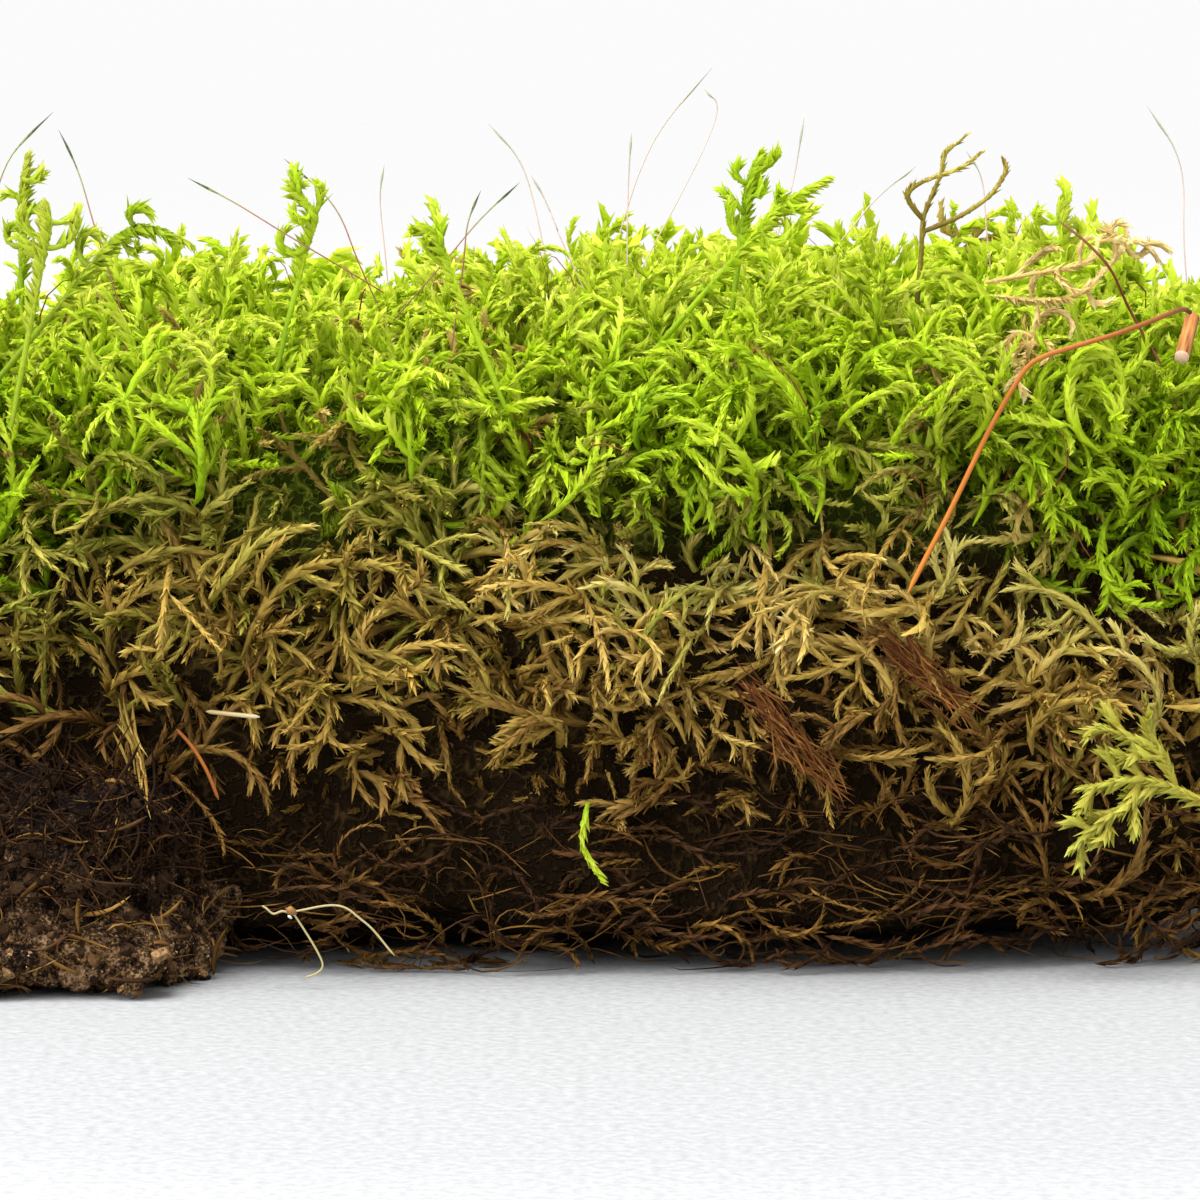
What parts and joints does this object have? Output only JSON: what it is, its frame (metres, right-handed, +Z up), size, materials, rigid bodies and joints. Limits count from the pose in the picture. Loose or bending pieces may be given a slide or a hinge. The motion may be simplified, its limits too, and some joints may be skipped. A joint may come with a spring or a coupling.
{
  "type": "moss clump",
  "caption": "Shaggy cushion of feather moss lifted from the ground: leafy green top, brown dead layer, dark humus mat and a soil clod, flat where it rests.",
  "frame": {"origin": "on the surface that the clump rests on, under the middle of the cushion", "axes": "+X along the clump's length, -Y the front face where the layers show, +Z up"},
  "size_m": [0.1436, 0.0994, 0.0765],
  "materials": {
    "soil": "matte",
    "humus": "matte",
    "dead_moss": "matte",
    "living_moss": "matte",
    "dry_moss": "matte",
    "pale_moss": "matte",
    "stalk": "matte",
    "twig": "matte",
    "straw": "matte",
    "root": "matte",
    "spore_stalk": "matte"
  },
  "bodies": {
    "root": {"soil_clod": "soil", "humus_mat": "humus", "brown_moss": "dead_moss", "green_moss": "living_moss", "curly_sprig": "dry_moss", "red_stalk": "stalk", "thin_stalk": "stalk", "twig_stub": "twig", "needle_bit": "twig", "straw_bit": "straw", "rootlet": "root", "hanging_leaf": "living_moss", "side_sprig": "pale_moss", "red_fibre_tuft_1": "humus", "red_fibre_tuft_2": "humus", "dry_strand_1": "dry_moss", "dry_strand_2": "dry_moss", "dry_strand_3": "dry_moss", "green_shoot_01": "living_moss", "green_shoot_02": "living_moss", "green_shoot_03": "living_moss", "green_shoot_04": "living_moss", "green_shoot_05": "living_moss", "green_shoot_06": "living_moss", "green_shoot_07": "living_moss", "green_shoot_08": "living_moss", "sporophyte_01": "spore_stalk", "sporophyte_02": "spore_stalk", "sporophyte_03": "spore_stalk", "sporophyte_04": "spore_stalk", "sporophyte_05": "spore_stalk", "sporophyte_06": "spore_stalk", "sporophyte_07": "spore_stalk", "sporophyte_08": "spore_stalk", "sporophyte_09": "spore_stalk", "sporophyte_10": "spore_stalk", "sporophyte_11": "spore_stalk", "sporophyte_12": "spore_stalk", "sporophyte_13": "spore_stalk", "sporophyte_14": "spore_stalk", "sporophyte_15": "spore_stalk", "sporophyte_16": "spore_stalk"}
  },
  "joints": []
}
